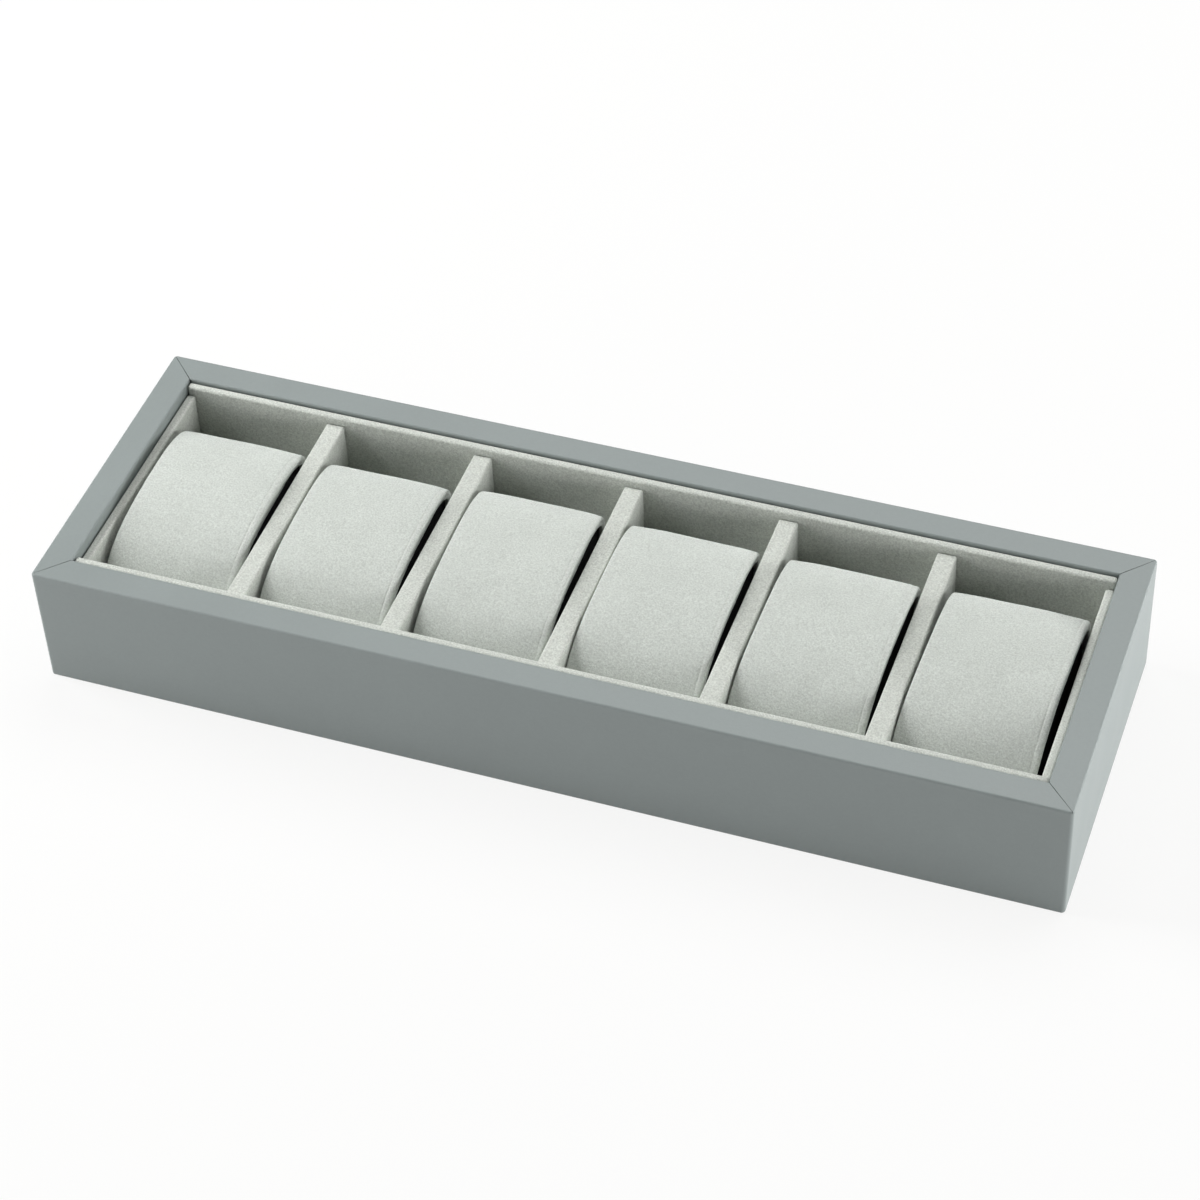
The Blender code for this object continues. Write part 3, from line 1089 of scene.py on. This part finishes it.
def stitch_nodes():
    """Nodes that lay short stitches along an edge line, end to end at a set pitch."""
    tree = bpy.data.node_groups.new("stitches", "GeometryNodeTree")
    face = tree.interface
    face.new_socket("Geometry", in_out="INPUT", socket_type="NodeSocketGeometry")
    for name in ("Pitch", "Length", "Thread"):
        face.new_socket(name, in_out="INPUT", socket_type="NodeSocketFloat")
    face.new_socket("Material", in_out="INPUT", socket_type="NodeSocketMaterial")
    face.new_socket("Geometry", in_out="OUTPUT", socket_type="NodeSocketGeometry")
    nodes = tree.nodes
    link = tree.links.new
    given = nodes.new("NodeGroupInput")
    result = nodes.new("NodeGroupOutput")
    line = nodes.new("GeometryNodeMeshToCurve")
    spaced = nodes.new("GeometryNodeResampleCurve")
    spaced.mode = "LENGTH"
    tangent = nodes.new("GeometryNodeInputTangent")
    turned = nodes.new("FunctionNodeAlignRotationToVector")
    turned.axis = "Z"
    bead = nodes.new("GeometryNodeMeshUVSphere")
    bead.inputs["Segments"].default_value = 6
    bead.inputs["Rings"].default_value = 5
    bead.inputs["Radius"].default_value = 0.5
    shape = nodes.new("ShaderNodeCombineXYZ")
    placed = nodes.new("GeometryNodeInstanceOnPoints")
    real = nodes.new("GeometryNodeRealizeInstances")
    smooth = nodes.new("GeometryNodeSetShadeSmooth")
    finish = nodes.new("GeometryNodeSetMaterial")
    link(given.outputs["Geometry"], line.inputs["Mesh"])
    link(line.outputs["Curve"], spaced.inputs["Curve"])
    link(given.outputs["Pitch"], spaced.inputs["Length"])
    link(tangent.outputs["Tangent"], turned.inputs["Vector"])
    link(given.outputs["Thread"], shape.inputs["X"])
    link(given.outputs["Thread"], shape.inputs["Y"])
    link(given.outputs["Length"], shape.inputs["Z"])
    link(spaced.outputs["Curve"], placed.inputs["Points"])
    link(bead.outputs["Mesh"], placed.inputs["Instance"])
    link(turned.outputs["Rotation"], placed.inputs["Rotation"])
    link(shape.outputs["Vector"], placed.inputs["Scale"])
    link(placed.outputs["Instances"], real.inputs["Geometry"])
    link(real.outputs["Geometry"], smooth.inputs["Geometry"])
    link(smooth.outputs["Geometry"], finish.inputs["Geometry"])
    link(given.outputs["Material"], finish.inputs["Material"])
    link(finish.outputs["Geometry"], result.inputs["Geometry"])
    return tree


def set_input(modifier, name, value):
    """Sets a node modifier's input by its socket's identifier."""
    for item in modifier.node_group.interface.items_tree:
        if item.item_type == "SOCKET" and item.in_out == "INPUT" and item.name == name:
            modifier[item.identifier] = value
            return
    raise ValueError("the nodes have no input named " + name)


def seam_stitches(settings, name, index, tree, material):
    """Both rows of stitches of one cushion, lying in its cover's seams."""
    low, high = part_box(CUSHIONS[index])
    outline = cushion_outline(low, high, settings.lift, COVER_OUTLINE_STEPS)
    directions = outward(outline)
    half_width = (high.x - low.x) / 2
    sunk = settings.seam_depth - settings.thread * STITCH_RISE
    side_foot = settings.side_depth - settings.side_thickness / 2
    side_seam = settings.edge_drop + SIDE_SEAM_PLACE * (side_foot - settings.edge_drop)
    lean = settings.side_lean * SIDE_SEAM_PLACE**LEAN_POWER
    bm = bmesh.new()
    for across, depth in (
        (half_width - settings.edge_width, sunk),
        (sunk - half_width + lean, side_seam),
    ):
        row = []
        for (y, z), (out_y, out_z) in zip(outline, directions):
            place = seated(settings, index, low, high, across, y - out_y * depth, z - out_z * depth)
            row.append(bm.verts.new(place))
        for step, vertex in enumerate(row):
            bm.edges.new((vertex, row[(step + 1) % len(row)]))
    piece = object_from(bm, name, material)
    modifier = piece.modifiers.new("stitches", "NODES")
    modifier.node_group = tree
    set_input(modifier, "Pitch", settings.stitch_pitch)
    set_input(modifier, "Length", settings.stitch_length)
    set_input(modifier, "Thread", settings.thread)
    set_input(modifier, "Material", material)
    return apply_modifiers(piece)


class TRAY_OT_cushion_stitches(bpy.types.Operator):
    """Sew the two rows of stitches round each cushion"""

    bl_idname = "tray.cushion_stitches"
    bl_label = "Cushion stitches"

    def execute(self, context):
        settings = context.scene.tray_cushions
        thread = finish_of("thread", thread_material, context.scene.tray_suede)
        tree = stitch_nodes()
        for index, node in enumerate(CUSHIONS):
            name = node.replace("cover", "stitches")
            settle(seam_stitches(settings, name, index, tree, thread), "suede")
        return {"FINISHED"}


def floor_material(settings):
    """White studio floor: real shading for the object, and plain white away from it for the eye."""
    material = bpy.data.materials.new("studio_floor")
    material.use_nodes = True
    nodes = material.node_tree.nodes
    link = material.node_tree.links.new
    nodes.clear()
    output = nodes.new("ShaderNodeOutputMaterial")
    lit = nodes.new("ShaderNodeBsdfDiffuse")
    lit.inputs["Color"].default_value = FLOOR_COLOUR
    plain = nodes.new("ShaderNodeEmission")
    plain.inputs["Color"].default_value = FLOOR_WHITE
    plain.inputs["Strength"].default_value = 1.0
    rays = nodes.new("ShaderNodeLightPath")
    seen = nodes.new("ShaderNodeMath")
    seen.operation = "MAXIMUM"
    place = nodes.new("ShaderNodeTexCoord")
    distance = nodes.new("ShaderNodeVectorMath")
    distance.operation = "LENGTH"
    whiteness = nodes.new("ShaderNodeMapRange")
    whiteness.interpolation_type = "SMOOTHSTEP"
    whiteness.inputs["From Min"].default_value = WHITE_RUN[0]
    whiteness.inputs["From Max"].default_value = WHITE_RUN[1]
    whiteness.inputs["To Min"].default_value = 1.0 - settings.floor_shade
    share = nodes.new("ShaderNodeMath")
    share.operation = "MULTIPLY"
    mix = nodes.new("ShaderNodeMixShader")
    link(rays.outputs["Is Camera Ray"], seen.inputs[0])
    link(rays.outputs["Is Glossy Ray"], seen.inputs[1])
    link(place.outputs["Object"], distance.inputs[0])
    link(distance.outputs["Value"], whiteness.inputs["Value"])
    link(seen.outputs["Value"], share.inputs[0])
    link(whiteness.outputs["Result"], share.inputs[1])
    link(share.outputs["Value"], mix.inputs["Fac"])
    link(lit.outputs["BSDF"], mix.inputs[1])
    link(plain.outputs["Emission"], mix.inputs[2])
    link(mix.outputs["Shader"], output.inputs["Surface"])
    return material


def add_soft_box(name, place, width, depth, power):
    """A rectangular soft box that faces the tray."""
    light = bpy.data.lights.new(name, "AREA")
    light.shape = "RECTANGLE"
    light.size = width
    light.size_y = depth
    light.energy = power
    lamp = bpy.data.objects.new(name, light)
    lamp.location = place
    gaze = (Vector(LIGHT_AIM) - Vector(place)).to_track_quat("-Z", "Y")
    lamp.rotation_euler = gaze.to_euler()
    bpy.context.scene.collection.objects.link(lamp)


def set_world(settings):
    """Even white light from the room, and plain white where the camera sees past the floor."""
    world = bpy.data.worlds.new("studio")
    bpy.context.scene.world = world
    world.use_nodes = True
    nodes = world.node_tree.nodes
    link = world.node_tree.links.new
    background = nodes["Background"]
    background.inputs["Color"].default_value = (1.0, 1.0, 1.0, 1.0)
    rays = nodes.new("ShaderNodeLightPath")
    strength = nodes.new("ShaderNodeMapRange")
    strength.inputs["To Min"].default_value = settings.sky
    strength.inputs["To Max"].default_value = 1.0
    link(rays.outputs["Is Camera Ray"], strength.inputs["Value"])
    link(strength.outputs["Result"], background.inputs["Strength"])


def add_camera(settings):
    """The camera, aimed and turned about its line of sight as in the photograph."""
    data = bpy.data.cameras.new("camera")
    data.lens = settings.camera_lens
    data.sensor_width = 36.0
    data.clip_start = 0.05
    data.clip_end = 50.0
    camera = bpy.data.objects.new("camera", data)
    place = Vector(settings.camera_place)
    gaze = (Vector(settings.camera_aim) - place).to_track_quat("-Z", "Y")
    camera.rotation_mode = "QUATERNION"
    camera.rotation_quaternion = gaze @ Quaternion((0.0, 0.0, 1.0), settings.camera_roll)
    camera.location = place
    bpy.context.scene.collection.objects.link(camera)
    bpy.context.scene.camera = camera


def add_floor(settings):
    """The white floor, just under the tray."""
    bm = bmesh.new()
    bmesh.ops.create_grid(bm, x_segments=2, y_segments=2, size=FLOOR_HALF_WIDTH)
    bmesh.ops.translate(bm, verts=bm.verts, vec=(0.0, 0.0, TRAY_LOW.z - FLOOR_GAP))
    floor = piece_from(bm, "studio_floor", floor_material(settings))


class TRAY_OT_stage(bpy.types.Operator):
    """Set up the camera, the white floor and the soft studio light"""

    bl_idname = "tray.stage"
    bl_label = "Stage"

    def execute(self, context):
        settings = context.scene.tray_stage
        add_camera(settings)
        add_floor(settings)
        for name, place, width, depth, power in LIGHTS:
            add_soft_box(name, place, width, depth, getattr(settings, power))
        set_world(settings)
        context.scene.view_settings.view_transform = "Standard"
        return {"FINISHED"}


class TRAY_PT_panel(bpy.types.Panel):
    """Lists the tray's pieces in the 3D view's sidebar"""

    bl_idname = "TRAY_PT_panel"
    bl_label = "Watch display tray"
    bl_space_type = "VIEW_3D"
    bl_region_type = "UI"
    bl_category = "Tray"

    def draw(self, context):
        layout = self.layout
        for name in SETTINGS:
            column = layout.column(align=True)
            group = getattr(context.scene, name)
            for key in group.bl_rna.properties.keys():
                if key not in ("rna_type", "name"):
                    column.prop(group, key)
        column = layout.column(align=True)
        for operator in OPERATORS:
            column.operator(operator.bl_idname)


SETTINGS = {
    "tray_frame": FrameSettings,
    "tray_suede": SuedeSettings,
    "tray_cushions": CushionSettings,
    "tray_stage": StageSettings,
}
OPERATORS = (
    TRAY_OT_frame_boards,
    TRAY_OT_base,
    TRAY_OT_linings,
    TRAY_OT_dividers,
    TRAY_OT_cushion_cores,
    TRAY_OT_cushion_covers,
    TRAY_OT_cushion_stitches,
    TRAY_OT_stage,
)
CLASSES = (*SETTINGS.values(), *OPERATORS, TRAY_PT_panel)


def register():
    """Registers the settings, the operators and the panel."""
    for item in CLASSES:
        bpy.utils.register_class(item)
    for name, group in SETTINGS.items():
        setattr(bpy.types.Scene, name, bpy.props.PointerProperty(type=group))


def unregister():
    """Takes them out again."""
    for name in SETTINGS:
        delattr(bpy.types.Scene, name)
    for item in reversed(CLASSES):
        bpy.utils.unregister_class(item)


def main():
    """Makes every piece and the stage in order."""
    register()
    bpy.ops.tray.frame_boards()
    bpy.ops.tray.base()
    bpy.ops.tray.linings()
    bpy.ops.tray.dividers()
    bpy.ops.tray.cushion_cores()
    bpy.ops.tray.cushion_covers()
    bpy.ops.tray.cushion_stitches()
    bpy.ops.tray.stage()


if __name__ == "__main__":
    main()
